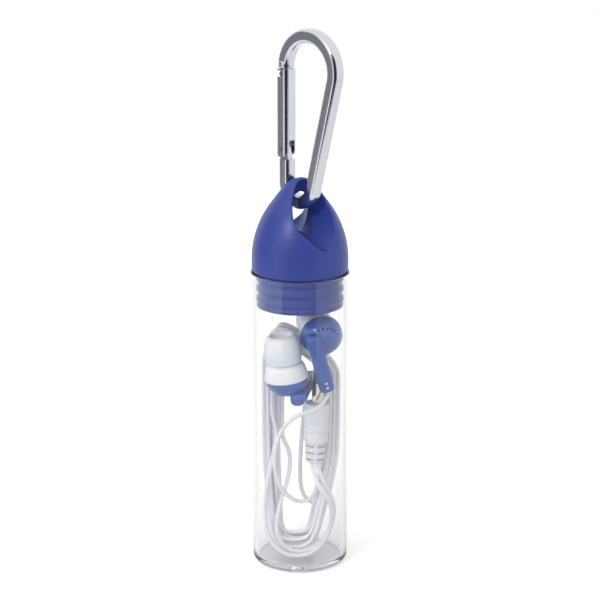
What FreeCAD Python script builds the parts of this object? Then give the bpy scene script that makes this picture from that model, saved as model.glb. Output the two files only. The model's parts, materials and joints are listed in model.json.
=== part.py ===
import FreeCAD, Part
import math
import os

# Wired earphones packed in a clear push-cap tube with a small carabiner.
# The frame: origin at the middle of the tube's base, +Z up, X along the eye of the cap, millimetres.

Vector = FreeCAD.Vector
UP = Vector(0, 0, 1)

# Driving dimensions of the clear tube
tube_height = 86.5
tube_rim_radius = 14.0
tube_base_radius = 13.7
tube_wall = 1.4
tube_floor = 1.6
tube_foot_round = 1.5
tube_inner_round = 1.0
gate_mark_radius = 1.6
gate_mark_depth = 0.35

# Driving dimensions of the cap
cap_height = 26.9
cap_base_radius = 13.65
cap_straight = 3.5
cap_shoulder_radius = 8.4
cap_shoulder_height = 19.4
cap_edge_round = 0.7
cap_seat_gap = 0.15
plug_depth = 9.9
plug_fit = 0.05
plug_groove_depth = 0.75
plug_wall = 1.5
plug_roof = 2.0
rib_pitch = 3.05
rib_count = 3
rib_first = 1.1
rib_height = 2.0

# The eye through the cap: a bar over a hole that opens out into a scoop on each face
bar_thickness = 4.7
bar_cut_width = 5.6
hole_half_width = 3.3
hole_bottom = 11.6
scoop_stations = (2.6, 5.0, 9.0, 14.6)
scoop_half_widths = (4.7, 5.9, 6.8, 7.4)
scoop_offsets = (-1.0, -2.0, -2.4, -2.6)
scoop_bottoms = (10.9, 9.9, 8.7, 7.3)
scoop_tops = (27.6, 28.4, 32.0, 37.0)
scoop_overlap = 0.05

# Driving dimensions of the carabiner
carabiner_length = 50.6
rod_thickness = 3.9
rod_edge_round = 1.2
small_bend_radius = 5.15
large_bend_radius = 9.45
large_bend_shift = 3.3
bar_play = 0.3
gate_thickness = 4.5
gate_edge_round = 1.5
gate_bore = 2.8
gate_line = -5.4
gate_foot = 9.3
gate_reach = 22.4
tang_thickness = 1.7
tang_width = 3.0
tang_play = 0.2
latch_tongue = 3.2
latch_pin_radius = 0.6
pivot_pin_radius = 0.65
pin_play = 0.05
tip_play = 0.3
spring_wire = 0.35
spring_coils = 8
spring_play = 0.1
plunger_length = 3.0
plunger_shoulder = 1.0

# Driving dimensions of one earphone
bud_radius = 6.1
bud_wall = 0.9
back_bulge = 0.6
front_length = 4.6
front_shoulder_radius = 5.6
front_shoulder = 2.6
front_end_radius = 4.0
nozzle_radius = 2.5
nozzle_bore = 1.7
nozzle_length = 4.7
nozzle_bead = 0.3
mesh_thickness = 0.25
tip_radius = 5.1
tip_mouth = 3.1
tip_skirt_radius = 4.7
tip_top = 12.9
tip_widest = 8.3
tip_skirt = 4.9
tip_wall = 0.6
tip_core_wall = 0.75
soft_play = 0.06
vent_count = 6
vent_radius = 0.33
vent_ring = 4.1
vent_first = -10.0
vent_step = 16.8
stem_length = 19.0
stem_width = 4.1
stem_depth = 3.7
stem_end_round = 1.4
stem_edge_round = 1.2
stem_back = 5.7
stem_ahead = 2.3
stem_beside = 3.0
driver_radius = 5.1
driver_rim = 0.8
driver_cup_radius = 3.9
driver_cup_depth = 1.9
driver_wall = 0.4
magnet_radius = 3.0
magnet_thickness = 1.2
coil_radius = 1.9
coil_wall = 0.25
coil_height = 1.0
diaphragm_thickness = 0.15

# Driving dimensions of the jack plug
grip_length = 17.9
grip_radius = 3.5
grip_ring_count = 3
grip_ring_pitch = 1.15
grip_ring_start = 5.3
grip_ring_height = 0.14
grip_taper_start = 10.6
grip_neck_radius = 3.05
grip_end_radius = 2.6
slot_rows = 3
slot_first = 12.5
slot_pitch = 2.05
slot_height = 0.75
slot_depth = 1.0
slot_web = 0.9
jack_radius = 1.75
jack_length = 14.0
jack_sleeve_length = 6.0
jack_ring_length = 2.6
jack_insulator = 0.7
jack_insulator_groove = 0.1
jack_neck_radius = 1.1

# Driving dimensions of the cords
cord_thickness = 1.25
cord_pitch = 1.72
cord_spread = 1.6
socket_depth = 1.6
socket_play = 0.05
self_gap_wanted = 0.4
first_turn = 1.28
first_layer_depth = 2.4
right_hank_low = 13.9
right_hank_high = 52.5
right_hank_start = 43.0
right_hank_end = 30.0
left_hank_low = 10.8
left_hank_high = 55.0
left_hank_start = 35.0
left_hank_end = 20.0

# Where the packed pieces lie. The contents face the front, a quarter turn of half a right angle from
# the carabiner's plane: in their own directions +X is to the right, +Y to the back and +Z up.
contents_turn = 45.0
left_bud_place = Vector(-3.7, -4.6, 56.6)
left_bud_axis = Vector(-0.125, -0.075, 0.989)
left_stem_axis = Vector(0.25, 0.968, 0.0)
right_bud_place = Vector(5.85, -2.9, 68.5)
right_bud_axis = Vector(-0.22, 0.945, 0.2)
right_stem_axis = Vector(0.24, 0.2, -0.95)
jack_place = Vector(5.0, -2.1, 48.2)
jack_axis = Vector(0.042, 0.012, 1.0)


def revolved(points):
    """A solid of revolution about Z. Each point is (radius, height), or (middle, end) for an arc."""
    edges = []
    start = Vector(points[0][0], 0, points[0][1])
    first = start
    for point in points[1:]:
        if isinstance(point[0], tuple):
            middle = Vector(point[0][0], 0, point[0][1])
            end = Vector(point[1][0], 0, point[1][1])
            edges.append(Part.Arc(start, middle, end).toShape())
        else:
            end = Vector(point[0], 0, point[1])
            edges.append(Part.makeLine(start, end))
        start = end
    if start.distanceToPoint(first) > 1e-6:
        edges.append(Part.makeLine(start, first))
    face = Part.Face(Part.Wire(edges))
    return face.revolve(Vector(0, 0, 0), UP, 360)


def cylinder(radius, height, base, direction=UP):
    return Part.makeCylinder(radius, height, base, direction)


def tube_radius(height):
    """The tube's outer radius at a height: its wall has a little draft."""
    return tube_base_radius + (tube_rim_radius - tube_base_radius) * height / tube_height


def frame_of(place, axis, along):
    """A placement whose Z is the axis and whose X is as near the other direction as it can be."""
    z = Vector(axis).normalize()
    x = Vector(along) - z * Vector(along).dot(z)
    x.normalize()
    y = z.cross(x)
    m = FreeCAD.Matrix(x.x, y.x, z.x, place.x, x.y, y.y, z.y, place.y, x.z, y.z, z.z, place.z, 0, 0, 0, 1)
    return FreeCAD.Placement(m)


def placed(shape, placement):
    copy = shape.copy()
    copy.Placement = placement.multiply(copy.Placement)
    return copy


def turned_in(shape):
    """A piece of the contents, turned with them about the tube's axis."""
    copy = shape.copy()
    copy.rotate(Vector(0, 0, 0), UP, contents_turn)
    return copy


# The clear tube and its cap

def case_tube():
    inner_base = tube_base_radius - tube_wall
    inner_rim = tube_rim_radius - tube_wall
    k = 1 - math.sqrt(0.5)
    foot, inner = tube_foot_round, tube_inner_round
    tube = revolved([
        (0, 0),
        (tube_base_radius - foot, 0),
        ((tube_base_radius - foot * k, foot * k), (tube_radius(foot), foot)),
        (tube_rim_radius, tube_height),
        (inner_rim, tube_height),
        (inner_base, tube_floor + inner),
        ((inner_base - inner * k, tube_floor + inner * k), (inner_base - inner, tube_floor)),
        (gate_mark_radius, tube_floor),
        (gate_mark_radius, tube_floor - gate_mark_depth),
        (0, tube_floor - gate_mark_depth),
    ])
    return tube


def cap_outline():
    """The dome's outline: straight, then an arc to the shoulder, a short cone and a round top."""
    rise = cap_shoulder_height - cap_straight
    inset = cap_base_radius - cap_shoulder_radius
    bow = (inset ** 2 + rise ** 2) / (2 * inset)
    lean = math.asin(rise / bow)
    middle = lean / 2
    bow_middle = (cap_base_radius - bow * (1 - math.cos(middle)), cap_straight + bow * math.sin(middle))
    slope = math.tan(lean)
    side, drop = math.cos(math.pi / 2 - lean), 0
    side, drop = math.cos(lean), 1 - math.sin(lean)
    crown = (cap_shoulder_radius - slope * (cap_height - cap_shoulder_height)) / (side - slope * drop)
    crown_end = (crown * side, cap_height - crown * drop)
    half = (math.pi / 2 + lean) / 2
    crown_middle = (crown * math.cos(half), cap_height - crown * (1 - math.sin(half)))
    k = 1 - math.sqrt(0.5)
    r = cap_edge_round
    low = cap_seat_gap
    return [
        (0, low),
        (cap_base_radius - r, low),
        ((cap_base_radius - r * k, low + r * k), (cap_base_radius, low + r)),
        (cap_base_radius, cap_straight),
        (bow_middle, (cap_shoulder_radius, cap_shoulder_height)),
        crown_end,
        (crown_middle, (0, cap_height)),
    ]


def oval(station, offset, half_width, low, high):
    """A standing oval across X at a station, as one closed wire."""
    half_height = (high - low) / 2
    ellipse = Part.Ellipse(Vector(0, 0, 0), max(half_height, half_width), min(half_height, half_width))
    wire = Part.Wire([ellipse.toShape()])
    wire.rotate(Vector(0, 0, 0), Vector(0, 1, 0), -90)
    wire.translate(Vector(station, offset, (low + high) / 2))
    return wire


def scoop():
    """What the eye takes from the +X face: a hole at the bar that opens out to a bowl."""
    bar_under = cap_height - bar_thickness
    sections = [oval(-scoop_overlap, 0, hole_half_width, hole_bottom, bar_under)]
    for n, station in enumerate(scoop_stations):
        sections.append(
            oval(station, scoop_offsets[n], scoop_half_widths[n], scoop_bottoms[n], scoop_tops[n]))
    return Part.makeLoft(sections, True, False)


def eye_bar_trim():
    """Rounds the bar where the carabiner goes round it."""
    radius = bar_thickness / 2
    middle = cap_height - radius
    block = Part.makeBox(
        4 * radius, bar_cut_width, 3 * radius,
        Vector(-2 * radius, -bar_cut_width / 2, middle - radius * 1.2))
    rod = cylinder(radius, bar_cut_width, Vector(0, -bar_cut_width / 2, middle), Vector(0, 1, 0))
    return block.cut(rod)


def cap():
    dome = revolved(cap_outline())
    cut = scoop()
    opposite = cut.copy()
    opposite.rotate(Vector(0, 0, 0), UP, 180)
    dome = dome.cut(cut).cut(opposite).cut(eye_bar_trim())

    inner = tube_rim_radius - tube_wall - plug_fit
    outline = [(0, cap_seat_gap), (inner, cap_seat_gap)]
    core = inner - plug_groove_depth
    half = rib_height / 2
    for n in range(rib_count):
        middle = -(rib_first + n * rib_pitch)
        crest = inner - (tube_rim_radius - tube_base_radius) * -middle / tube_height
        if n == 0:
            outline[1] = (core + plug_groove_depth / 2, cap_seat_gap)
        outline.append((core, middle + half))
        outline.append(((crest, middle), (core, middle - half)))
    lip = 0.6
    outline.append((inner - 0.2, -plug_depth + 1.4))
    outline.append((inner - 0.2, -plug_depth + lip))
    outline.append((inner - 0.2 - lip, -plug_depth))
    cavity = core - plug_wall
    outline.append((cavity, -plug_depth))
    outline.append((cavity, -plug_roof))
    outline.append((0, -plug_roof))
    plug = revolved(outline)
    whole = dome.fuse(plug).removeSplitter()
    whole.translate(Vector(0, 0, tube_height))
    return whole


# The carabiner, in its own plane: X across it and Z along it, from the eye's bar

bar_radius = bar_thickness / 2
bar_height = tube_height + cap_height - bar_radius
small_inner = small_bend_radius - rod_thickness / 2
small_centre = bar_height - bar_radius - bar_play + small_inner
carabiner_low = small_centre - small_bend_radius - rod_thickness / 2
large_centre = carabiner_low + carabiner_length - large_bend_radius - rod_thickness / 2
pivot = Vector(gate_line, 0, small_centre + gate_foot)
gate_top = pivot.z + gate_reach


def rounded_square(size, corner, centre, normal, across):
    """A square wire with round corners, square to a direction."""
    half = size / 2
    k = corner * (1 - math.sqrt(0.5))
    flat = [(half, -half + corner), (half, half - corner)]
    corner_middle = (half - k, half - k)
    edges = []
    side = normal.cross(across)

    def at(u, v):
        return centre + across * u + side * v

    for n in range(4):
        c, s = round(math.cos(n * math.pi / 2)), round(math.sin(n * math.pi / 2))
        points = [flat[0], flat[1], corner_middle, (half - corner, half)]
        p = [at(u * c - v * s, u * s + v * c) for u, v in points]
        edges.append(Part.makeLine(p[0], p[1]))
        edges.append(Part.Arc(p[1], p[2], p[3]).toShape())
    return Part.Wire(edges)


def tangent_line(c1, r1, c2, r2):
    """The outer tangent on the +X side of two circles in the XZ plane."""
    d = c2 - c1
    length = d.Length
    base = math.atan2(d.z, d.x)
    swing = math.acos((r1 - r2) / length)
    angle = base - swing
    n = Vector(math.cos(angle), 0, math.sin(angle))
    return c1 + n * r1, c2 + n * r2, angle


def carabiner_body():
    low = Vector(large_bend_shift * 0.05, 0, small_centre)
    high = Vector(gate_line + large_bend_radius, 0, large_centre)
    start = Vector(low.x - small_bend_radius, 0, pivot.z - gate_thickness / 2 - tip_play - 0.35)
    left = Vector(low.x - small_bend_radius, 0, low.z)
    p1, p2, angle = tangent_line(low, small_bend_radius, high, large_bend_radius)
    under = low + Vector(0, 0, -small_bend_radius)
    middle = (angle - math.pi / 2) / 2
    under_middle = low + Vector(math.cos(-math.pi / 2 + (angle + math.pi / 2) / 2), 0,
                                math.sin(-math.pi / 2 + (angle + math.pi / 2) / 2)) * small_bend_radius
    left_middle = low + Vector(math.cos(math.radians(225)), 0, math.sin(math.radians(225))) * small_bend_radius
    over = high + Vector(0, 0, large_bend_radius)
    over_middle = high + Vector(math.cos((angle + math.pi / 2) / 2), 0,
                                math.sin((angle + math.pi / 2) / 2)) * large_bend_radius
    top_left = high - Vector(large_bend_radius, 0, 0)
    top_middle = high + Vector(math.cos(math.radians(135)), 0, math.sin(math.radians(135))) * large_bend_radius
    end = Vector(top_left.x, 0, gate_top + tip_play)
    path = [
        Part.makeLine(start, left),
        Part.Arc(left, left_middle, under).toShape(),
        Part.Arc(under, under_middle, p1).toShape(),
        Part.makeLine(p1, p2),
        Part.Arc(p2, over_middle, over).toShape(),
        Part.Arc(over, top_middle, top_left).toShape(),
    ]
    if top_left.z - end.z > 0.01:
        path.append(Part.makeLine(top_left, end))
    section = rounded_square(rod_thickness, rod_edge_round, start, Vector(0, 0, -1), Vector(1, 0, 0))
    rod = Part.Wire(path).makePipeShell([section], True, False)

    tang_low = start.z - 1.0
    tang = Part.makeBox(tang_width, tang_thickness, pivot.z - tang_low,
                        Vector(pivot.x - tang_width / 2, -tang_thickness / 2, tang_low))
    knuckle = cylinder(tang_width / 2, tang_thickness, Vector(pivot.x, -tang_thickness / 2, pivot.z),
                       Vector(0, 1, 0))
    pivot_hole = cylinder(pivot_pin_radius, 2 * rod_thickness, Vector(pivot.x, -rod_thickness, pivot.z),
                          Vector(0, 1, 0))
    head = Part.makeCylinder(gate_thickness / 2, 1.9, Vector(end.x, 0, end.z))
    head = head.makeFillet(0.4, head.Edges)
    tongue_low = end.z - latch_tongue
    tongue = Part.makeBox(tang_width, tang_thickness, latch_tongue + 1.0,
                          Vector(end.x - tang_width / 2, -tang_thickness / 2, tongue_low))
    tongue = tongue.makeFillet(0.5, [e for e in tongue.Edges if e.BoundBox.ZMax < tongue_low + 0.01])
    latch_hole = cylinder(latch_pin_radius, 2 * rod_thickness,
                          Vector(end.x, -rod_thickness, end.z - latch_tongue / 2), Vector(0, 1, 0))
    body = rod.fuse([tang, knuckle, head, tongue]).cut(pivot_hole).cut(latch_hole)
    return body.removeSplitter()


def gate_slot(low, high, depth_from, depth_to):
    width = tang_thickness + 2 * tang_play
    return Part.makeBox(depth_to - depth_from, width, high - low,
                        Vector(depth_from, -width / 2, low))


def carabiner_gate():
    half = gate_thickness / 2
    start = Vector(pivot.x, 0, pivot.z)
    section = rounded_square(gate_thickness, gate_edge_round, start, UP, Vector(1, 0, 0))
    bar = Part.Face(section).extrude(Vector(0, 0, gate_reach))
    foot = cylinder(half, gate_thickness, Vector(pivot.x, -half, pivot.z), Vector(0, 1, 0))
    block = Part.makeBox(gate_thickness, gate_thickness, half, Vector(pivot.x - half, -half, pivot.z - half))
    section_low = Part.Face(section).extrude(Vector(0, 0, -half))
    foot = foot.common(section_low.fuse(block.common(section_low)))
    gate = bar.fuse(foot).removeSplitter()
    slot_top = pivot.z + tang_width / 2 + plunger_shoulder
    gate = gate.cut(gate_slot(pivot.z - gate_thickness, slot_top, pivot.x - gate_thickness,
                              pivot.x + gate_thickness))
    gate = gate.cut(gate_slot(gate_top - latch_tongue - tip_play, gate_top + 1, pivot.x - gate_thickness,
                              pivot.x + tang_width / 2 + tang_play))
    bore_top = gate_top - latch_tongue - tip_play - 1.5
    gate = gate.cut(cylinder(gate_bore / 2, bore_top - pivot.z, pivot))
    hole = cylinder(pivot_pin_radius + pin_play, 2 * gate_thickness,
                    Vector(pivot.x, -gate_thickness, pivot.z), Vector(0, 1, 0))
    latch_z = gate_top + tip_play - latch_tongue / 2
    notch = cylinder(latch_pin_radius + tip_play, 2 * gate_thickness,
                     Vector(pivot.x, -gate_thickness, latch_z), Vector(0, 1, 0))
    notch_way = Part.makeBox(gate_thickness, 2 * gate_thickness, 2 * (latch_pin_radius + tip_play),
                             Vector(pivot.x - gate_thickness, -gate_thickness,
                                    latch_z - latch_pin_radius - tip_play))
    return gate.cut(hole).cut(notch).cut(notch_way)


def gate_pivot_pin():
    length = gate_thickness + 0.3
    return cylinder(pivot_pin_radius, length, Vector(pivot.x, -length / 2, pivot.z), Vector(0, 1, 0))


def latch_pin():
    length = gate_thickness - 0.3
    z = gate_top + tip_play - latch_tongue / 2
    return cylinder(latch_pin_radius, length, Vector(pivot.x, -length / 2, z), Vector(0, 1, 0))


def gate_plunger():
    base = pivot.z + tang_width / 2 + 0.15
    radius = gate_bore / 2 - spring_play
    pin = cylinder(radius, plunger_length, Vector(pivot.x, 0, base))
    return pin.makeFillet(0.5, [e for e in pin.Edges if e.BoundBox.ZMax < base + 0.01])


def gate_spring():
    low = pivot.z + tang_width / 2 + 0.15 + plunger_length + spring_wire / 2 + 0.02
    high = gate_top - latch_tongue - tip_play - 1.5 - spring_wire / 2 - 0.05
    radius = gate_bore / 2 - spring_play - spring_wire / 2
    pitch = (high - low) / spring_coils
    path = helix(radius, pitch, spring_coils)
    section = Part.Wire([Part.Circle(Vector(radius, 0, 0), Vector(0, 1, 0), spring_wire / 2).toShape()])
    spring = path.makePipeShell([section], True, True)
    spring.translate(Vector(pivot.x, 0, low))
    return spring


def helix(radius, pitch, turns):
    return Part.makeHelix(pitch, pitch * turns, radius)


# One earphone, in its own directions: Z towards the ear, X along the stem

def sphere_point(centre, radius, angle):
    return (radius * math.cos(angle), centre + radius * math.sin(angle))


def back_housing(side):
    rim_angle = math.asin(-back_bulge / bud_radius)
    middle = (rim_angle - math.pi / 2) / 2
    inner = bud_radius - bud_wall
    inner_rim = math.asin(-back_bulge / inner)
    inner_middle = (inner_rim - math.pi / 2) / 2
    shell = revolved([
        (0, back_bulge - bud_radius),
        (sphere_point(back_bulge, bud_radius, middle), sphere_point(back_bulge, bud_radius, rim_angle)),
        (inner * math.cos(inner_rim), 0),
        (sphere_point(back_bulge, inner, inner_middle), (0, back_bulge - inner)),
    ])
    lean = math.asin(vent_ring / bud_radius)
    for n in range(vent_count):
        turn = math.radians(180 + side * (vent_first + n * vent_step))
        direction = Vector(math.sin(lean) * math.cos(turn), math.sin(lean) * math.sin(turn), -math.cos(lean))
        vent = cylinder(vent_radius, 2 * bud_wall, Vector(0, 0, back_bulge) + direction * (inner - bud_wall / 2),
                        direction)
        shell = shell.cut(vent)
    return shell


def stem_blank(side):
    half = stem_width / 2
    x0 = -stem_ahead
    x1 = x0 - half + stem_length
    y0 = side * stem_beside
    r = stem_end_round
    k = r * (1 - math.sqrt(0.5))
    low = -stem_back - stem_depth / 2

    def at(x, y):
        return Vector(x, y0 + y, low)

    edges = [
        Part.Arc(at(x0, half), at(x0 - half, 0), at(x0, -half)).toShape(),
        Part.makeLine(at(x0, -half), at(x1 - r, -half)),
        Part.Arc(at(x1 - r, -half), at(x1 - k, -half + k), at(x1, -half + r)).toShape(),
        Part.makeLine(at(x1, -half + r), at(x1, half - r)),
        Part.Arc(at(x1, half - r), at(x1 - k, half - k), at(x1 - r, half)).toShape(),
        Part.makeLine(at(x1 - r, half), at(x0, half)),
    ]
    bar = Part.Face(Part.Wire(edges)).extrude(Vector(0, 0, stem_depth))
    rims = [e for e in bar.Edges if e.BoundBox.ZLength < 0.01]
    return bar.makeFillet(stem_edge_round, rims)


def socket(mouth, inwards):
    """The hole a cord sits in, from its mouth inwards."""
    radius = cord_thickness / 2 + socket_play
    return cylinder(radius, socket_depth + 1, mouth - inwards, inwards)


def stem(side):
    ball = Part.makeSphere(bud_radius, Vector(0, 0, back_bulge))
    bar = stem_blank(side).cut(ball)
    bar = sorted(bar.Solids, key=lambda solid: -solid.Volume)[0]
    return bar.cut(socket(stem_exit(side), Vector(-1, 0, 0)))


def stem_exit(side):
    """Where the cord leaves the stem, in the earphone's own directions."""
    return Vector(-stem_ahead - stem_width / 2 + stem_length, side * stem_beside, -stem_back)


def front_housing():
    inner = bud_radius - bud_wall
    ledge = driver_rim + 0.15
    bead = nozzle_radius + nozzle_bead
    end = front_length + nozzle_length
    return revolved([
        (inner, 0),
        (bud_radius, 0),
        ((bud_radius - 0.12, front_shoulder / 2), (front_shoulder_radius, front_shoulder)),
        ((front_end_radius + 1.1, front_length - 0.65), (front_end_radius, front_length)),
        (nozzle_radius, front_length),
        (nozzle_radius, end - 1.6),
        ((bead, end - 1.1), (nozzle_radius, end - 0.6)),
        (nozzle_radius - 0.15, end),
        (nozzle_bore + 0.2, end),
        (nozzle_bore + 0.2, end - 2 * mesh_thickness),
        (nozzle_bore, end - 2 * mesh_thickness),
        (nozzle_bore, front_length - 0.9),
        ((3.4, front_shoulder + 0.6), (inner - 0.6, ledge)),
        (inner, ledge),
    ])


def nozzle_mesh():
    end = front_length + nozzle_length
    return cylinder(nozzle_bore + 0.18, mesh_thickness, Vector(0, 0, end - 2 * mesh_thickness + 0.01))


def ear_tip():
    core_inner = nozzle_radius + soft_play
    bead = nozzle_radius + nozzle_bead + soft_play
    core_outer = core_inner + tip_core_wall
    end = front_length + nozzle_length
    skirt = tip_skirt
    w = tip_wall
    return revolved([
        (core_inner, skirt),
        (core_outer, skirt),
        (core_outer, end - 0.9),
        ((core_outer + 0.45, end + 0.25), (tip_mouth + 0.3, end + 0.5)),
        ((tip_radius - w - 0.15, tip_widest + 0.6), (tip_skirt_radius - w, skirt)),
        (tip_skirt_radius, skirt),
        ((tip_radius, tip_widest), (tip_mouth + 1.15, tip_top - 0.75)),
        ((tip_mouth + 0.62, tip_top - 0.13), (tip_mouth, tip_top)),
        (core_inner - 0.6, end + 1.1),
        (core_inner - 0.6, end + soft_play),
        (core_inner, end + soft_play),
        (core_inner, end - 0.6 + soft_play),
        ((bead, end - 1.1), (core_inner, end - 1.6 - soft_play)),
    ])


def driver_frame():
    cup = driver_cup_radius
    return revolved([
        (0, -driver_cup_depth),
        (cup, -driver_cup_depth),
        (cup, 0.1),
        (driver_radius, 0.1),
        (driver_radius, 0.1 + driver_rim),
        (driver_radius - 0.7, 0.1 + driver_rim),
        (driver_radius - 0.7, 0.1 + driver_wall),
        (cup - driver_wall, 0.1 + driver_wall),
        (cup - driver_wall, driver_wall - driver_cup_depth),
        (0, driver_wall - driver_cup_depth),
    ])


def driver_magnet():
    low = driver_wall - driver_cup_depth
    magnet = cylinder(magnet_radius, magnet_thickness, Vector(0, 0, low))
    gap = cylinder(coil_radius + 0.3, magnet_thickness, Vector(0, 0, low + 0.5))
    core = cylinder(coil_radius - coil_wall - 0.3, magnet_thickness, Vector(0, 0, low + 0.4))
    return magnet.cut(gap.cut(core))


def diaphragm():
    t = diaphragm_thickness
    low = 0.1 + driver_rim - 0.35
    r = driver_radius - 0.75
    c = coil_radius
    return revolved([
        (0, low + 0.7),
        (0.4, low + 0.7),
        ((c * 0.65, low + 0.45), (c, low)),
        (c + 0.3, low),
        ((c + 1.3, low + 0.3), (r - 0.3, low)),
        (r, low),
        (r, low + t),
        (r - 0.3, low + t),
        ((c + 1.3, low + 0.3 + t), (c + 0.3, low + t)),
        (c, low + t),
        ((c * 0.65, low + 0.45 + t), (0.4, low + 0.7 + t)),
        (0, low + 0.7 + t),
    ])


def voice_coil():
    top = 0.1 + driver_rim - 0.35
    ring = cylinder(coil_radius, coil_height, Vector(0, 0, top - coil_height))
    return ring.cut(cylinder(coil_radius - coil_wall, coil_height, Vector(0, 0, top - coil_height)))


bud_pieces = {
    "ear_tip": lambda side: ear_tip(),
    "nozzle_mesh": lambda side: nozzle_mesh(),
    "front_housing": lambda side: front_housing(),
    "diaphragm": lambda side: diaphragm(),
    "voice_coil": lambda side: voice_coil(),
    "driver_magnet": lambda side: driver_magnet(),
    "driver_frame": lambda side: driver_frame(),
    "back_housing": back_housing,
    "stem": stem,
}
bud_sides = {
    "left": (-1, frame_of(left_bud_place, left_bud_axis, left_stem_axis)),
    "right": (1, frame_of(right_bud_place, right_bud_axis, right_stem_axis)),
}


# The jack plug, in its own directions: Z towards the tip of the jack, from the grip's top face

def jack_grip():
    g, n = grip_radius, grip_neck_radius
    outline = [(0, 0), (g - 0.3, 0), ((g - 0.09, -0.09), (g, -0.3)), (g, -grip_ring_start)]
    z = -grip_ring_start
    step = grip_ring_pitch / 2
    for ring in range(grip_ring_count):
        outline.append(((g + grip_ring_height, z - step / 2), (g, z - step)))
        outline.append(((g - grip_ring_height / 2, z - 1.5 * step), (g, z - 2 * step)))
        z -= 2 * step
    outline.append((g - 0.08, -grip_taper_start))
    neck = grip_taper_start + 1.3
    outline.append(((n + 0.3, -neck + 0.35), (n, -neck)))
    outline.append((grip_end_radius + 0.15, -grip_length + 0.7))
    outline.append(((grip_end_radius - 0.1, -grip_length + 0.15), (grip_end_radius - 0.7, -grip_length)))
    outline.append((0, -grip_length))
    grip = revolved(outline)
    for row in range(slot_rows):
        z = -slot_first - row * slot_pitch
        ring = cylinder(2 * g, slot_height, Vector(0, 0, z - slot_height / 2))
        radius = n - 0.1 - slot_depth - row * 0.1
        ring = ring.cut(cylinder(radius, slot_height, Vector(0, 0, z - slot_height / 2)))
        web = slot_web / 2
        for turn in (0, 90):
            bar = Part.makeBox(4 * g, 2 * web, slot_height, Vector(-2 * g, -web, z - slot_height / 2))
            bar.rotate(Vector(0, 0, 0), UP, turn)
            ring = ring.cut(bar)
        grip = grip.cut(ring)
    for side in (1, -1):
        grip = grip.cut(socket(Vector(-side * cord_spread / 2, 0, -grip_length), UP))
    return grip


def jack_sections():
    """The contact's sections from the grip up: (name, low, high)."""
    first = jack_sleeve_length
    second = first + jack_insulator
    third = second + jack_ring_length
    fourth = third + jack_insulator
    return first, second, third, fourth


def jack_sleeve():
    first, second, third, fourth = jack_sections()
    sleeve = cylinder(jack_radius, first, Vector(0, 0, 0))
    return sleeve.cut(cylinder(jack_neck_radius, first, Vector(0, 0, 0)))


def jack_ring():
    first, second, third, fourth = jack_sections()
    ring = cylinder(jack_radius, third - second, Vector(0, 0, second))
    return ring.cut(cylinder(jack_neck_radius, third - second, Vector(0, 0, second)))


def jack_insulators():
    first, second, third, fourth = jack_sections()
    r = jack_radius - jack_insulator_groove
    lower = cylinder(r, second - first, Vector(0, 0, first))
    upper = cylinder(r, fourth - third, Vector(0, 0, third))
    lower = lower.cut(cylinder(jack_neck_radius, second - first, Vector(0, 0, first)))
    upper = upper.cut(cylinder(jack_neck_radius, fourth - third, Vector(0, 0, third)))
    return Part.makeCompound([lower, upper])


def jack_tip():
    first, second, third, fourth = jack_sections()
    r = jack_radius
    return revolved([
        (0, 0),
        (jack_neck_radius, 0),
        (jack_neck_radius, fourth),
        (r, fourth),
        (r, fourth + 0.5),
        (1.15, fourth + 1.5),
        ((1.45, fourth + 2.1), (1.6, fourth + 2.6)),
        (1.5, fourth + 3.0),
        ((1.05, jack_length - 0.45), (0.4, jack_length)),
        (0, jack_length),
    ])


jack_frame = frame_of(jack_place, jack_axis, Vector(1, 0, 0))
jack_pieces = {
    "jack_grip": jack_grip,
    "jack_sleeve": jack_sleeve,
    "jack_ring": jack_ring,
    "jack_insulators": jack_insulators,
    "jack_tip": jack_tip,
}


# The cords: two thin round cords, each from the grip of the plug to one stem

def disc(place, direction, radius):
    return Part.Wire([Part.Circle(place, direction, radius).toShape()])


def swept(name, edges):
    """A round tube along tangent edges, with its volume held against its section times its length."""
    path = Part.Wire(edges)
    first = edges[0]
    start = first.valueAt(first.FirstParameter)
    direction = first.tangentAt(first.FirstParameter)
    tube = path.makePipeShell([disc(start, direction, cord_thickness / 2)], True, False)
    expected = math.pi * (cord_thickness / 2) ** 2 * path.Length
    print(name, "length %.1f" % path.Length, "volume over expected %.4f" % (tube.Volume / expected),
          "valid", tube.isValid())
    return tube


def route_tube(name, points):
    """A tube along straight runs that are joined by arcs as large as the runs allow."""
    edges = []
    radii = []
    start = points[0]
    for n in range(1, len(points) - 1):
        before, corner, after = points[n - 1], points[n], points[n + 1]
        arrive = (corner - before).normalize()
        leave = (after - corner).normalize()
        turn = arrive.getAngle(leave)
        cut = 0.45 * min((corner - before).Length, (after - corner).Length)
        radius = cut / math.tan(turn / 2)
        radii.append(radius)
        p1 = corner - arrive * cut
        p2 = corner + leave * cut
        inward = (leave - arrive).normalize()
        centre = corner + inward * (radius / math.cos(turn / 2))
        middle = centre - inward * radius
        edges.append(Part.makeLine(start, p1))
        edges.append(Part.Arc(p1, middle, p2).toShape())
        start = p2
    edges.append(Part.makeLine(start, points[-1]))
    print(name, "radii", " ".join("%.1f" % r for r in radii))
    return swept(name, edges)


def climb(start, end):
    """Two equal arcs from one upright run to another beside it."""
    rise = abs(end.z - start.z)
    aside = Vector(end.x - start.x, end.y - start.y, 0)
    if aside.Length < 1e-6:
        return [Part.makeLine(start, end)]
    middle = (start + end) * 0.5
    radius = ((rise / 2) ** 2 + (aside.Length / 2) ** 2) / aside.Length
    half = math.asin(rise / 2 / radius) / 2
    out = Vector(aside).normalize()
    way = Vector(0, 0, 1 if end.z > start.z else -1)
    low = start + out * (radius * (1 - math.cos(half))) + way * (radius * math.sin(half))
    high = end - out * (radius * (1 - math.cos(half))) - way * (radius * math.sin(half))
    return [Part.Arc(start, low, middle).toShape(), Part.Arc(middle, high, end).toShape()]


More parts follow.
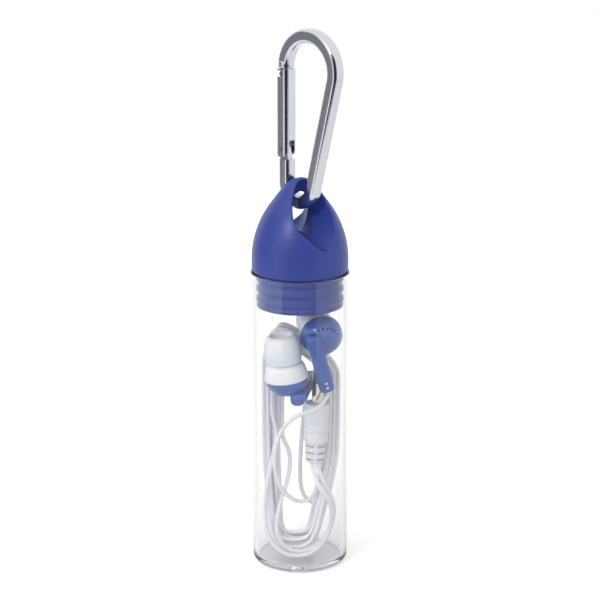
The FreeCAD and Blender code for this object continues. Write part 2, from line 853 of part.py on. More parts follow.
def bend(start, end, upward):
    """Half a turn over the top or under the bottom, as two quarter turns."""
    centre = (start + end) * 0.5
    radius = start.distanceToPoint(end) / 2
    way = Vector(0, 0, radius if upward else -radius)
    top = centre + way
    out = (start - centre).normalize()
    diagonal = radius * math.sqrt(0.5)
    turn = Vector(way).normalize() * diagonal
    return [
        Part.Arc(start, centre + out * diagonal + turn, top).toShape(),
        Part.Arc(top, centre - out * diagonal + turn, end).toShape(),
    ]


def hank_edges(runs, low, high, first_height, last_height):
    """Loops from upright runs: each is (x, y) at its start and (x, y) at its end, left ones going up."""
    edges = []
    place = None
    for n, (begin, finish) in enumerate(runs):
        going_up = begin[0] < 0
        z0, z1 = (low, high) if going_up else (high, low)
        if n == 0:
            z0 = first_height
        if n == len(runs) - 1:
            z1 = last_height
        start = Vector(begin[0], begin[1], z0)
        end = Vector(finish[0], finish[1], z1)
        if place:
            edges += bend(place, start, not going_up)
        edges += climb(start, end)
        place = end
    return edges


def spiral_runs(layers):
    """The runs of loops that wind out and in by turns: each layer has (depth, first, last, aside)."""
    runs = []
    side = -1
    for n, (depth, first, last, aside) in enumerate(layers):
        step = cord_pitch / 2 if last > first else -cord_pitch / 2
        count = round((last - first) / step)
        for m in range(count + 1):
            if n and m == 0:
                continue
            here = (aside + side * (first + m * step), depth)
            after = here
            if m == count and n + 1 < len(layers):
                after = (layers[n + 1][3] + side * layers[n + 1][1], layers[n + 1][0])
            runs.append((here, after))
            side = -side
    return runs


def least_self_gap(name, edges):
    """The least gap of a tube to itself, from points half a millimetre apart."""
    path = Part.Wire(edges)
    count = int(path.Length / 0.5)
    points = path.discretize(Number=count)
    step = path.Length / (count - 1)
    skip = int(4 * cord_thickness / step)
    least = 1e9
    cells = {}
    size = 4 * cord_thickness
    for n, p in enumerate(points):
        key = (int(p.x // size), int(p.y // size), int(p.z // size))
        for dx in (-1, 0, 1):
            for dy in (-1, 0, 1):
                for dz in (-1, 0, 1):
                    for m in cells.get((key[0] + dx, key[1] + dy, key[2] + dz), ()):
                        if n - m > skip:
                            least = min(least, p.distanceToPoint(points[m]))
        cells.setdefault(key, []).append(n)
    print(name, "least gap to itself %.2f" % (least - cord_thickness), "wanted", self_gap_wanted)


def depth(layer):
    """How far behind the tube's axis a layer of loops lies."""
    return first_layer_depth + layer * cord_pitch


def hank_ends(runs, first_height, last_height):
    begin, finish = runs[0][0], runs[-1][1]
    return Vector(begin[0], begin[1], first_height), Vector(finish[0], finish[1], last_height)


def socket_exit(frame, mouth, inwards):
    """A cord's first points: in its socket, and out of it where its first turn begins."""
    seat = frame.multVec(mouth + inwards * (socket_depth - 0.1))
    corner = frame.multVec(mouth - inwards * first_turn)
    return [seat, corner]


def grip_exit(side):
    """Where a cord leaves the grip of the plug, in the contents' directions."""
    return socket_exit(jack_frame, Vector(-side * cord_spread / 2, 0, -grip_length), UP)


def bud_exit(side_name):
    side, frame = bud_sides[side_name]
    return socket_exit(frame, stem_exit(side), Vector(-1, 0, 0))


right_layers = [
    (depth(0), 6.78, 11.08, 0.0),
    (depth(1), 10.66, 5.5, 0.0),
]
left_layers = [
    (depth(2), 3.7, 8.0, 1.0),
    (depth(3), 7.85, 5.27, 0.7),
    (depth(4), 5.255, 6.115, 0.285),
]
right_runs = spiral_runs(right_layers)
left_runs = spiral_runs(left_layers)
right_start, right_end = hank_ends(right_runs, right_hank_start, right_hank_end)
left_start, left_end = hank_ends(left_runs, left_hank_start, left_hank_end)

right_plug_route = grip_exit(1) + [
    Vector(5.0, -4.9, 24.0),
    Vector(8.6, -6.1, 19.6),
    Vector(9.2, -6.2, 13.8),
    Vector(7.0, -6.8, 7.4),
    Vector(2.6, -7.9, 3.5),
    Vector(-3.6, -8.1, 3.4),
    Vector(-8.4, -7.1, 7.2),
    Vector(-10.0, -5.0, 14.2),
    Vector(-9.6, -3.2, 23.0),
    Vector(-7.9, -0.2, 30.6),
    Vector(-6.78, 2.4, 37.4),
    right_start,
]
left_plug_route = grip_exit(-1) + [
    Vector(6.9, -3.9, 23.9),
    Vector(9.6, -3.4, 18.8),
    Vector(9.7, -2.9, 12.4),
    Vector(6.6, -3.2, 6.0),
    Vector(1.2, -3.9, 3.4),
    Vector(-4.2, -3.6, 4.6),
    Vector(-7.0, -2.6, 9.6),
    Vector(-5.6, -0.8, 17.0),
    Vector(-3.3, 2.4, 23.4),
    Vector(-2.7, 5.5, 30.0),
    left_start,
]
right_bud_route = bud_exit("right") + [
    Vector(5.2, -8.5, 48.6),
    Vector(1.6, -9.9, 47.9),
    Vector(-2.6, -10.3, 46.0),
    Vector(-5.6, -9.4, 41.6),
    Vector(-6.9, -8.8, 35.6),
    Vector(-7.0, -7.9, 29.0),
    Vector(-5.0, -6.2, 22.2),
    Vector(0.2, -3.2, 17.6),
    Vector(4.4, -0.4, 19.0),
    Vector(5.5, 3.4, 23.8),
    right_end,
]
left_bud_route = bud_exit("left") + [
    Vector(2.6, 11.1, 48.9),
    Vector(1.2, 11.3, 42.0),
    Vector(-0.2, 11.35, 24.0),
    Vector(0.4, 11.1, 15.4),
    Vector(3.6, 10.6, 12.2),
    Vector(6.2, 9.3, 14.6),
    left_end,
]


def cords():
    right_edges = hank_edges(
        right_runs, right_hank_low, right_hank_high, right_hank_start, right_hank_end)
    left_edges = hank_edges(
        left_runs, left_hank_low, left_hank_high, left_hank_start, left_hank_end)
    least_self_gap("right_hank", right_edges)
    least_self_gap("left_hank", left_edges)
    return {
        "right_cord_hank": swept("right_hank", right_edges),
        "left_cord_hank": swept("left_hank", left_edges),
        "right_cord_plug_lead": route_tube("right_plug_lead", right_plug_route),
        "left_cord_plug_lead": route_tube("left_plug_lead", left_plug_route),
        "right_cord_bud_lead": route_tube("right_bud_lead", right_bud_route),
        "left_cord_bud_lead": route_tube("left_bud_lead", left_bud_route),
    }


def build():
    parts = {
        "case_tube": case_tube(),
        "cap": cap(),
        "carabiner_body": carabiner_body(),
        "carabiner_gate": carabiner_gate(),
        "gate_pivot_pin": gate_pivot_pin(),
        "latch_pin": latch_pin(),
        "gate_plunger": gate_plunger(),
        "gate_spring": gate_spring(),
    }
    for side_name, (side, frame) in bud_sides.items():
        for piece, make in bud_pieces.items():
            parts[side_name + "_" + piece] = turned_in(placed(make(side), frame))
    for piece, make in jack_pieces.items():
        parts[piece] = turned_in(placed(make(), jack_frame))
    for piece, shape in cords().items():
        parts[piece] = turned_in(shape)
    return parts


os.makedirs("parts", exist_ok=True)
for part_name, part_shape in build().items():
    part_shape.exportStep("parts/" + part_name + ".step")
    print("%-24s solids %d volume %.2f valid %s" % (
        part_name, len(part_shape.Solids), part_shape.Volume, part_shape.isValid()))
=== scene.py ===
# %% [markdown]
# # Wired earphones in a clear push-cap tube
# The real thing is a small gift-shop item: a moulded clear tube, a blue cap whose eye carries an
# aluminium carabiner, and inside it a pair of in-ear earphones with their two thin cords folded
# into a hank. The CAD frame brings every rigid piece in place. This file adds the camera, the
# cords, the finishes and the light.

# %% Load the frame
import json
import math

import bmesh
import bpy
from mathutils import Matrix, Vector
from mathutils.kdtree import KDTree

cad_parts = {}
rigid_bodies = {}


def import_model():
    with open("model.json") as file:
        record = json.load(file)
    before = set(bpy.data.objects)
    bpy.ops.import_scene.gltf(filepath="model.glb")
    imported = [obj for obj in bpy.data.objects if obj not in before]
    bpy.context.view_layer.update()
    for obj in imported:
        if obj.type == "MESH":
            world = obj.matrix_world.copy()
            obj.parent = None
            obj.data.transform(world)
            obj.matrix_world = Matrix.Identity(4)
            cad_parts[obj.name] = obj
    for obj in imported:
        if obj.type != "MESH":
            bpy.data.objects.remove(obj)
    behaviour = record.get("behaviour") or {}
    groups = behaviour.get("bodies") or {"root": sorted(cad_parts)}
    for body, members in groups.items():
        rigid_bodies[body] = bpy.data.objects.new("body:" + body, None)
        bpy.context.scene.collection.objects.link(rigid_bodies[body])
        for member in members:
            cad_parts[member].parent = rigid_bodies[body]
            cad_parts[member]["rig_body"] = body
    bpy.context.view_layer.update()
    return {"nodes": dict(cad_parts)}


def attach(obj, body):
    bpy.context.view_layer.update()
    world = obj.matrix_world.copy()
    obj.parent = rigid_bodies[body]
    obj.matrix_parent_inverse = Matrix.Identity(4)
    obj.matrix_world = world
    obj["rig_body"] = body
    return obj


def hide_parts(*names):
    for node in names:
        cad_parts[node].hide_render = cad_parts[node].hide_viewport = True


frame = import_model()

# %% [markdown]
# ## Directions and sizes
# The carabiner lies in the X-Z plane. The earphones face 45 degrees away from it, towards the
# camera, so their places are given in their own directions (x to the right, y to the back, z up,
# in millimetres) and turned by one function. The sizes repeat the driving dimensions of the part.

# %% Sizes
MM = 0.001
contents_turned = 45
CONTENTS_TURN = Matrix.Rotation(math.radians(contents_turned), 4, "Z")

tube_height = 86.5
tube_rim_radius = 14.0
tube_base_radius = 13.7
tube_wall = 1.4
tube_floor = 1.6
cord_thickness = 1.25


def inside(x, y, z):
    """A place among the contents, in millimetres, as a place in the frame, in metres."""
    return CONTENTS_TURN @ Vector((x * MM, y * MM, z * MM))


# %% [markdown]
# ## Camera
# The photograph looks down at the tube by about 15 degrees from half a metre away. A long lens
# keeps the tube's sides nearly parallel, as they are there. Light that crosses the tube meets
# four faces of clear plastic and is mirrored between them, so rays may bounce many times.

# %% Camera
camera_data = bpy.data.cameras.new("camera")
camera_data.lens = 115.2
camera_data.sensor_width = 36
camera = bpy.data.objects.new("camera", camera_data)
bpy.context.scene.collection.objects.link(camera)
camera.location = (0.3712, -0.3712, 0.2225)
camera_tilt, camera_bearing = 74.6, 45
camera.rotation_euler = (math.radians(camera_tilt), 0, math.radians(camera_bearing))
bpy.context.scene.camera = camera
bpy.context.scene.view_settings.view_transform = "Standard"
light_bounces = 64
for limit in ("max_bounces", "glossy_bounces", "transmission_bounces"):
    setattr(bpy.context.scene.cycles, limit, light_bounces)
print("camera distance %.3f m" % camera.location.length)

# %% [markdown]
# ## The cords
# Each earphone has its own thin cord. From the stem it runs down the front, joins the hank of
# long loops behind the earphones, and comes round the foot of the tube up to the plug. The
# loops are worked out from the same spiral as in the part. A hank that nothing ties doesn't
# keep flat sides, so one function then lets it settle: the bends at the foot draw together
# and come forward onto the floor, and the bends at the top lean to one side. This makes the
# drawn cords a little longer than the part's, which are the lengths declared.

# %% Cord sizes
cord_pitch = 1.72
first_layer_depth = 2.4


def layer_depth(layer):
    return first_layer_depth + layer * cord_pitch


right_hank = {
    "layers": [(layer_depth(0), 6.78, 11.08, 0.0), (layer_depth(1), 10.66, 5.5, 0.0)],
    "low": 13.9, "high": 52.5, "start": 43.0, "end": 30.0,
}
left_hank = {
    "layers": [(layer_depth(2), 3.7, 8.0, 1.0), (layer_depth(3), 7.85, 5.27, 0.7),
               (layer_depth(4), 5.255, 6.115, 0.285)],
    "low": 10.8, "high": 55.0, "start": 35.0, "end": 20.0,
}
print("layers of loops:", len(right_hank["layers"]) + len(left_hank["layers"]))

# %% Loops of a hank


def upright_runs(layers):
    """The (x, depth) of each upright run, winding out and in by turns, left ones going up."""
    runs, side = [], -1
    for n, (depth, first, last, aside) in enumerate(layers):
        step = cord_pitch / 2 if last > first else -cord_pitch / 2
        for m in range(round((last - first) / step) + 1):
            if n and m == 0:
                continue
            runs.append((aside + side * (first + m * step), depth))
            side = -side
    return runs


def smooth_step(value, low, high):
    t = min(max((value - low) / (high - low), 0.0), 1.0)
    return t * t * (3 - 2 * t)


run_middle, run_nearest, run_squeeze = 6.0, 3.7, 0.72
crossing_width = 2.5
floor_level = 3.0
foot_narrowing = 0.42
foot_height = 34.0
foot_shift = -1.7
foot_forward = 2.2
foot_fan = 0.75
foot_deepening = 0.45
lower_forward = 1.0
crown_lift, crown_middle, crown_width = 8.5, 6.0, 5.2
crown_drop = 1.5
hank_middle = 6.0
hank_reach = 11.55


def settled(x, y, z, turn):
    """Where a point of a neat loop comes to lie once the hank has opened out in the tube."""
    apart = smooth_step(abs(x), 0.0, crossing_width)
    x = math.copysign(apart * (run_middle + run_squeeze * (abs(x) - run_nearest)), x)
    foot = 1 - smooth_step(z, floor_level, foot_height)
    x = x * (1 - foot_narrowing * foot) + foot_shift * foot
    y = hank_middle + (y - hank_middle) * (1 + foot_deepening * foot) - foot_forward * foot
    y += foot_fan * foot * (1 if turn % 4 < 2 else -1)
    y -= lower_forward * (1 - smooth_step(z, 40.0, 50.0))
    lean = smooth_step(z, 47.0, 61.0)
    crown = crown_lift * math.exp(-((x + crown_middle) / crown_width) ** 2)
    z += lean * (crown - crown_drop * smooth_step(x, 1.0, 9.0))
    held = min(1.0, hank_reach / math.hypot(x, y))
    return x * held, y * held, z


def hank_points(hank):
    """Points along the loops: four on each run and four round each bend."""
    runs = upright_runs(hank["layers"])
    points = []
    for n, (x, y) in enumerate(runs):
        going_up = x < 0
        low, high = hank["low"], hank["high"]
        z0, z1 = (low, high) if going_up else (high, low)
        if n == 0:
            z0 = hank["start"]
        if n == len(runs) - 1:
            z1 = hank["end"]
        for share in (0.0, 0.33, 0.67, 1.0):
            points.append((x, y, z0 + (z1 - z0) * share, n))
        if n < len(runs) - 1:
            next_x, next_y = runs[n + 1]
            radius = abs(next_x - x) / 2
            way = 1 if going_up else -1
            for across, beyond in ((0.0, 0.5), (0.24, 1.0), (0.76, 1.0), (1.0, 0.5)):
                points.append((x + (next_x - x) * across, y + (next_y - y) * across,
                               z1 + way * beyond * radius, n))
    return [inside(*settled(*point)) for point in points]


print("points in the hanks:", len(hank_points(right_hank)), len(hank_points(left_hank)))

# %% Routes of the leads
# The places where a cord leaves its stem and the plug's grip, found from their own directions.


def direction_frame(place, axis, along):
    """The matrix whose Z is the axis and whose X is as near the other direction as it can be."""
    z = Vector(axis).normalized()
    x = (Vector(along) - z * Vector(along).dot(z)).normalized()
    y = z.cross(x)
    turn = Matrix((x, y, z)).transposed().to_4x4()
    return Matrix.Translation(Vector(place)) @ turn


stem_ahead, stem_beside, stem_back = 2.3, 3.0, 5.7
stem_length, stem_width, stem_depth = 19.0, 4.1, 3.7
grip_length, cord_spread = 17.9, 1.6
socket_depth, seat_gap, first_turn = 1.6, 0.1, 1.28
bud_frames = {
    "left": (-1, direction_frame((-3.7, -4.6, 56.6), (-0.125, -0.075, 0.989), (0.25, 0.968, 0))),
    "right": (1, direction_frame((5.85, -2.9, 68.5), (-0.22, 0.945, 0.2), (0.24, 0.2, -0.95))),
}
jack_frame = direction_frame((5.0, -2.1, 48.2), (0.042, 0.012, 1.0), (1, 0, 0))


def exit_points(place, mouth, inwards):
    """The cord's seat in its socket, its mouth and the point where it may first turn."""
    reaches = (socket_depth - seat_gap, 0, -first_turn)
    return [tuple(place @ (mouth + inwards * reach)) for reach in reaches]


def stem_exit(name):
    side, place = bud_frames[name]
    mouth = Vector((stem_length - stem_ahead - stem_width / 2, side * stem_beside, -stem_back))
    return exit_points(place, mouth, Vector((-1, 0, 0)))


def grip_exit(side):
    mouth = Vector((-side * cord_spread / 2, 0, -grip_length))
    return exit_points(jack_frame, mouth, Vector((0, 0, 1)))


right_plug_route = grip_exit(1) + [
    (5.0, -4.9, 24.0),
    (8.6, -6.1, 19.6),
    (9.2, -6.2, 13.8),
    (7.0, -6.8, 7.4),
    (2.6, -7.9, 3.5),
    (-3.6, -8.1, 3.4),
    (-8.4, -7.1, 7.2),
    (-10.0, -5.0, 14.2),
    (-9.6, -3.2, 23.0),
    (-7.9, -0.2, 30.6),
    (-6.78, 2.4, 37.4),
]
left_plug_route = grip_exit(-1) + [
    (6.9, -3.9, 23.9),
    (9.6, -3.4, 18.8),
    (9.7, -2.9, 12.4),
    (6.6, -4.0, 6.0),
    (1.2, -5.5, 3.2),
    (-4.2, -5.3, 4.2),
    (-7.2, -4.2, 9.6),
    (-6.0, -1.4, 17.0),
    (-3.3, 2.4, 23.4),
    (-2.7, 5.5, 30.0),
]
right_bud_route = stem_exit("right") + [
    (5.2, -8.5, 48.6),
    (1.6, -9.9, 47.9),
    (-2.6, -10.3, 46.0),
    (-5.6, -9.4, 41.6),
    (-6.9, -8.8, 35.6),
    (-7.0, -7.9, 29.0),
    (-5.0, -6.2, 22.2),
    (0.2, -3.2, 17.6),
    (4.4, -0.4, 19.0),
    (5.5, 3.4, 23.8),
]
left_bud_route = stem_exit("left") + [
    (2.6, 11.1, 48.9),
    (1.2, 11.3, 42.0),
    (-0.2, 11.35, 24.0),
    (0.4, 11.1, 15.4),
    (3.6, 10.6, 12.2),
    (6.2, 9.3, 14.6),
]
print("points in the leads:", len(right_plug_route), len(left_plug_route),
      len(right_bud_route), len(left_bud_route))

# %% Draw the cords


def cord_curve(name, points):
    """One open NURBS spline, control points as given. Its bevel of one metre is scaled by the
    radius at each point, which is the cord's own."""
    curve = bpy.data.curves.new(name, "CURVE")
    curve.dimensions = "3D"
    curve.bevel_depth = 1.0
    curve.bevel_resolution = 5
    curve.resolution_u = 6
    curve.use_fill_caps = True
    spline = curve.splines.new("NURBS")
    spline.points.add(len(points) - 1)
    for control, point in zip(spline.points, points):
        control.co = (*point, 1)
        control.radius = cord_thickness / 2 * MM
    spline.order_u = 3
    spline.use_endpoint_u = True
    cord = bpy.data.objects.new(name, curve)
    bpy.context.scene.collection.objects.link(cord)
    return cord


def whole_route(bud_route, hank, plug_route):
    """From the stem, back through the hank, to the plug."""
    leads = [inside(*p) for p in bud_route], [inside(*p) for p in plug_route]
    return leads[0] + hank_points(hank)[::-1] + leads[1][::-1]


cords = {
    "right": cord_curve("right_cord", whole_route(right_bud_route, right_hank, right_plug_route)),
    "left": cord_curve("left_cord", whole_route(left_bud_route, left_hank, left_plug_route)),
}


def centre_points(cord):
    """The evaluated centreline, read from a copy of the curve that has no thickness."""
    bare = cord.data.copy()
    bare.bevel_depth = 0
    probe = bpy.data.objects.new("probe", bare)
    bpy.context.scene.collection.objects.link(probe)
    evaluated = probe.evaluated_get(bpy.context.evaluated_depsgraph_get())
    mesh = bpy.data.meshes.new_from_object(evaluated)
    points = [v.co.copy() for v in mesh.vertices]
    bpy.data.objects.remove(probe)
    bpy.data.meshes.remove(mesh)
    return points


def measure_cords():
    """Prints each cord's length, its least distance to itself and between the cords."""
    lines = {side: centre_points(cord) for side, cord in cords.items()}
    tree = KDTree(sum(len(line) for line in lines.values()))
    owners = []
    for side, line in lines.items():
        run = 0.0
        for n, point in enumerate(line):
            run += (point - line[n - 1]).length if n else 0.0
            tree.insert(point, len(owners))
            owners.append((side, run))
        print("%s cord %.4f m" % (side, run))
    tree.balance()
    least = {}
    number = 0
    for side, line in lines.items():
        for point in line:
            own_side, own_run = owners[number]
            for place, other, distance in tree.find_range(point, 2.5 * cord_thickness * MM):
                other_side, other_run = owners[other]
                if other_side == own_side and abs(other_run - own_run) < 5 * cord_thickness * MM:
                    continue
                key = "itself" if other_side == own_side else "the other"
                if distance < least.get((side, key), (9, None))[0]:
                    least[(side, key)] = (distance, CONTENTS_TURN.inverted() @ point / MM)
            number += 1
    for key, (distance, place) in least.items():
        print("least distance of the %s cord to %s: %.2f mm at" % (*key, distance / MM),
              [round(v, 1) for v in place])


measure_cords()

# %% Cords ride with the earphones
# The lengths are those of the part's own routes, not measured from the curves drawn here.
for side, cord in cords.items():
    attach(cord, "earphones")
    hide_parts(*[side + "_cord_" + part for part in ("hank", "plug_lead", "bud_lead")])

# %% [markdown]
# ## Finishes
# Every finish starts from what the real material is and how its surface was made. One function
# turns the sRGB hex colours to linear values, and one adds a node with its settings and links.

# %% Helpers for finishes


def linear(hex_colour):
    """An sRGB hex colour as linear values, with full alpha."""
    channels = [int(hex_colour[n:n + 2], 16) / 255 for n in (0, 2, 4)]
    values = [c / 12.92 if c <= 0.04045 else ((c + 0.055) / 1.055) ** 2.4 for c in channels]
    return (*values, 1.0)


def add(tree, kind, inputs=None, **settings):
    """Adds a node; an input takes a value or another node's output."""
    node = tree.nodes.new(kind)
    for name, value in settings.items():
        setattr(node, name, value)
    for name, value in (inputs or {}).items():
        if isinstance(value, bpy.types.NodeSocket):
            tree.links.new(value, node.inputs[name])
        else:
            node.inputs[name].default_value = value
    return node


cloud_mm = 9
grain_depth = 0.00005


def finish(name, colour, shift, grain_mm, bump, **sockets):
    """A moulded or metal finish: a colour that shifts a little, and a fine surface grain."""
    material = bpy.data.materials.new(name)
    material.use_nodes = True
    tree = material.node_tree
    shader = tree.nodes["Principled BSDF"]
    place = add(tree, "ShaderNodeTexCoord").outputs["Object"]
    cloud = add(tree, "ShaderNodeTexNoise", {
        "Vector": place, "Scale": 1 / (cloud_mm * MM), "Detail": 2.0})
    mix = add(tree, "ShaderNodeMix", {"Factor": cloud.outputs["Fac"]}, data_type="RGBA")
    mix.inputs[6].default_value = linear(colour)
    mix.inputs[7].default_value = linear(shift)
    tree.links.new(mix.outputs[2], shader.inputs["Base Color"])
    grain = add(tree, "ShaderNodeTexNoise", {
        "Vector": place, "Scale": 1 / (grain_mm * MM), "Detail": 3.0})
    relief = add(tree, "ShaderNodeBump", {
        "Height": grain.outputs["Fac"], "Strength": bump, "Distance": grain_depth})
    tree.links.new(relief.outputs["Normal"], shader.inputs["Normal"])
    for socket, value in sockets.items():
        shader.inputs[socket.replace("_", " ")].default_value = value
    return material


# %% [markdown]
# ### Plastics
# The tube is injection-moulded clear polystyrene: hard, bright and thin-walled, so it refracts
# at its edges and mirrors the studio faintly. Light that runs a long way inside the wall dims,
# which greys the edges a little. How much is given here, not taken from a measured plastic. The cap
# is moulded polypropylene with a satin face, and the plug below it is smoother and glossier.
# The shells of the earphones are gloss ABS, the tips are silicone, and the plug's grip and the
# cords are soft white vinyl.

# %% Plastic finishes


wave_mm = 14
wave_depth = 0.0002
wall_tint = (0.84, 0.845, 0.875, 1)
wall_dimming = 130.0


def clear_polystyrene():
    """Clear, with a faint grey in its depth and the slow waves of a moulded wall."""
    material = bpy.data.materials.new("clear_polystyrene")
    material.use_nodes = True
    tree = material.node_tree
    shader = tree.nodes["Principled BSDF"]
    place = add(tree, "ShaderNodeTexCoord").outputs["Object"]
    waves = add(tree, "ShaderNodeTexNoise", {
        "Vector": place, "Scale": 1 / (wave_mm * MM), "Detail": 1.0})
    relief = add(tree, "ShaderNodeBump", {
        "Height": waves.outputs["Fac"], "Strength": 0.008, "Distance": wave_depth})
    tree.links.new(relief.outputs["Normal"], shader.inputs["Normal"])
    shader.inputs["Base Color"].default_value = linear("ffffff")
    shader.inputs["Roughness"].default_value = 0.0
    shader.inputs["IOR"].default_value = 1.5
    shader.inputs["Transmission Weight"].default_value = 1.0
    depth = add(tree, "ShaderNodeVolumeAbsorption", {"Color": wall_tint, "Density": wall_dimming})
    tree.links.new(depth.outputs["Volume"], tree.nodes["Material Output"].inputs["Volume"])
    return material


clear_tube = clear_polystyrene()
cap_plastic = finish("satin_polypropylene_blue", "2d3e8d", "324394", 0.45, 0.12,
                     Roughness=0.38, Specular_IOR_Level=0.42)
plug_plastic = finish("polished_polypropylene_blue", "2c3f94", "30469c", 0.45, 0.04,
                      Roughness=0.12, Specular_IOR_Level=0.2)
shell_plastic = finish("gloss_abs_blue", "2b56ac", "305db4", 0.6, 0.03, Roughness=0.16)
white_plastic = finish("gloss_abs_white", "f4f5f8", "eff1f5", 0.6, 0.03, Roughness=0.2)
tip_silicone = finish("silicone_white", "f6f7fa", "f1f3f8", 0.3, 0.05, Roughness=0.38,
                      Subsurface_Weight=0.25, Subsurface_Scale=0.0015)
grip_vinyl = finish("soft_vinyl_white", "e9ebef", "e4e6ec", 0.35, 0.08, Roughness=0.42)
cord_vinyl = finish("cord_vinyl_white", "f6f7fa", "f0f1f6", 0.5, 0.06, Roughness=0.33)
black_plastic = finish("black_nylon", "141416", "1b1b1e", 0.4, 0.1, Roughness=0.4)
frame_plastic = finish("driver_frame_abs", "22252c", "2a2d35", 0.5, 0.06, Roughness=0.4)
film = finish("polyester_film", "b9b6a4", "c4c1b0", 0.4, 0.03, Roughness=0.12,
              Transmission_Weight=0.35)
plastics = (clear_tube, cap_plastic, plug_plastic, shell_plastic, white_plastic, tip_silicone,
            grip_vinyl, cord_vinyl, black_plastic, frame_plastic, film)
print("plastic finishes:", len(plastics))

# %% [markdown]
# ### Metals
# The carabiner is polished aluminium rod, bent cold, so it mirrors the studio in long streaks.
# The pins and the spring are steel, the contact is nickel plate, and the coil is copper wire.

# %% Metal finishes


def metal(name, colour, shift, grain_mm, bump, roughness):
    return finish(name, colour, shift, grain_mm, bump, Metallic=1.0, Roughness=roughness)


polished_aluminium = metal("polished_aluminium", "dcdde3", "d2d4dc", 0.5, 0.14, 0.19)
pin_steel = metal("turned_steel", "b9bac0", "a9aab2", 0.2, 0.08, 0.24)
spring_steel = metal("drawn_spring_steel", "a6a7ad", "96979e", 0.2, 0.08, 0.28)
mesh_steel = metal("woven_steel", "8f9096", "7e8087", 0.1, 0.1, 0.35)
nickel = metal("nickel_plate", "d6d2c8", "cbc7bd", 0.4, 0.03, 0.12)
magnet_nickel = metal("plated_magnet", "9c9da3", "8d8e95", 0.3, 0.06, 0.3)
copper = metal("enamelled_copper_wire", "b3552b", "9d4520", 0.08, 0.3, 0.3)
metals = (polished_aluminium, pin_steel, spring_steel, mesh_steel, nickel, magnet_nickel, copper)
print("metal finishes:", len(metals))

for cord in cords.values():
    cord.data.materials.append(cord_vinyl)

# %% [markdown]
# ## The rigid pieces
# A CAD node is a mesh of loose triangles. A copy with its corners merged takes smooth shading
# between its faces and keeps its real edges sharp, so each node is shown by such a copy.

# %% Dress a CAD node
finishes = {
    "cap": (cap_plastic, "blue_plastic"),
    "carabiner_body": (polished_aluminium, "carabiner_metal"),
    "carabiner_gate": (polished_aluminium, "carabiner_metal"),
    "gate_pivot_pin": (pin_steel, "pin_steel"),
    "latch_pin": (pin_steel, "pin_steel"),
    "gate_plunger": (pin_steel, "pin_steel"),
    "gate_spring": (spring_steel, "spring_steel"),
    "ear_tip": (tip_silicone, "tip_silicone"),
    "nozzle_mesh": (mesh_steel, "mesh_steel"),
    "front_housing": (white_plastic, "white_plastic"),
    "diaphragm": (film, "film"),
    "voice_coil": (copper, "copper"),
    "driver_magnet": (magnet_nickel, "magnet"),
    "driver_frame": (frame_plastic, "frame_plastic"),
    "back_housing": (shell_plastic, "blue_shell"),
    "stem": (shell_plastic, "blue_shell"),
    "jack_grip": (grip_vinyl, "white_rubber"),
    "jack_sleeve": (nickel, "contact_metal"),
    "jack_ring": (nickel, "contact_metal"),
    "jack_insulators": (black_plastic, "black_plastic"),
    "jack_tip": (nickel, "contact_metal"),
}


SHARP = math.radians(32)
same_point, no_length = 2e-6, 1e-7


def dressed(node, material, slot):
    """A merged, smooth-shaded copy of a CAD node in its finish, in the node's place."""
    mesh = frame["nodes"][node].data.copy()
    work = bmesh.new()
    work.from_mesh(mesh)
    bmesh.ops.remove_doubles(work, verts=work.verts, dist=same_point)
    bmesh.ops.dissolve_degenerate(work, edges=work.edges, dist=no_length)
    for face in work.faces:
        face.smooth = True
    for edge in work.edges:
        edge.smooth = edge.is_manifold and edge.calc_face_angle(0) < SHARP
    work.to_mesh(mesh)
    work.free()
    if mesh.has_custom_normals:
        mesh.normals_split_custom_set([(0, 0, 0)] * len(mesh.loops))
    mesh.materials.clear()
    mesh.materials.append(material)
    piece = bpy.data.objects.new(node + "_look", mesh)
    bpy.context.scene.collection.objects.link(piece)
    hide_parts(node)
    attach(piece, frame["nodes"][node]["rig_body"])
    return piece


looks = {}
for node in sorted(frame["nodes"]):
    kind = node.replace("left_", "").replace("right_", "")
    if kind in finishes:
        looks[node] = dressed(node, *finishes[kind])
print("dressed nodes:", len(looks))

# %% [markdown]
# ### The cap's soft edges
# A moulded cap has no sharp edges: the eye's rims are all rounded by about half a millimetre. The
# copy is remeshed into small even squares, and a few rounds of smoothing draw the edges in. The
# faces below the tube's rim are the plug, and take its glossier finish.

# %% Soften the cap


def softened(piece, voxel_mm, rounds):
    """Remeshes a closed piece in small squares and rounds its edges."""
    remesh = piece.modifiers.new("squares", "REMESH")
    remesh.mode = "VOXEL"
    remesh.voxel_size = voxel_mm * MM
    remesh.use_smooth_shade = True
    smooth = piece.modifiers.new("rounding", "SMOOTH")
    smooth.factor = 0.5
    smooth.iterations = rounds
    evaluated = piece.evaluated_get(bpy.context.evaluated_depsgraph_get())
    mesh = bpy.data.meshes.new_from_object(evaluated)
    piece.modifiers.clear()
    materials = list(piece.data.materials)
    piece.data = mesh
    mesh.materials.clear()
    for material in materials:
        mesh.materials.append(material)


softened(looks["cap"], voxel_mm=0.3, rounds=5)
looks["cap"].data.materials.append(plug_plastic)
for face in looks["cap"].data.polygons:
    face.material_index = 1 if face.center.z < tube_height * MM else 0
print("cap faces:", len(looks["cap"].data.polygons))

# %% [markdown]
# ### The clear tube
# A turned shape: one outline of the wall, spun about the axis. It is drawn afresh here, finer
# than the CAD mesh, because facets show at once in clear plastic, where each wall bends the light.

# %% Spin the tube


def arc(centre, radius, start, end, steps):
    """Points of an arc in the outline's plane, angles in degrees."""
    angles = [math.radians(start + (end - start) * n / steps) for n in range(steps + 1)]
    return [(centre[0] + radius * math.cos(a), centre[1] + radius * math.sin(a)) for a in angles]


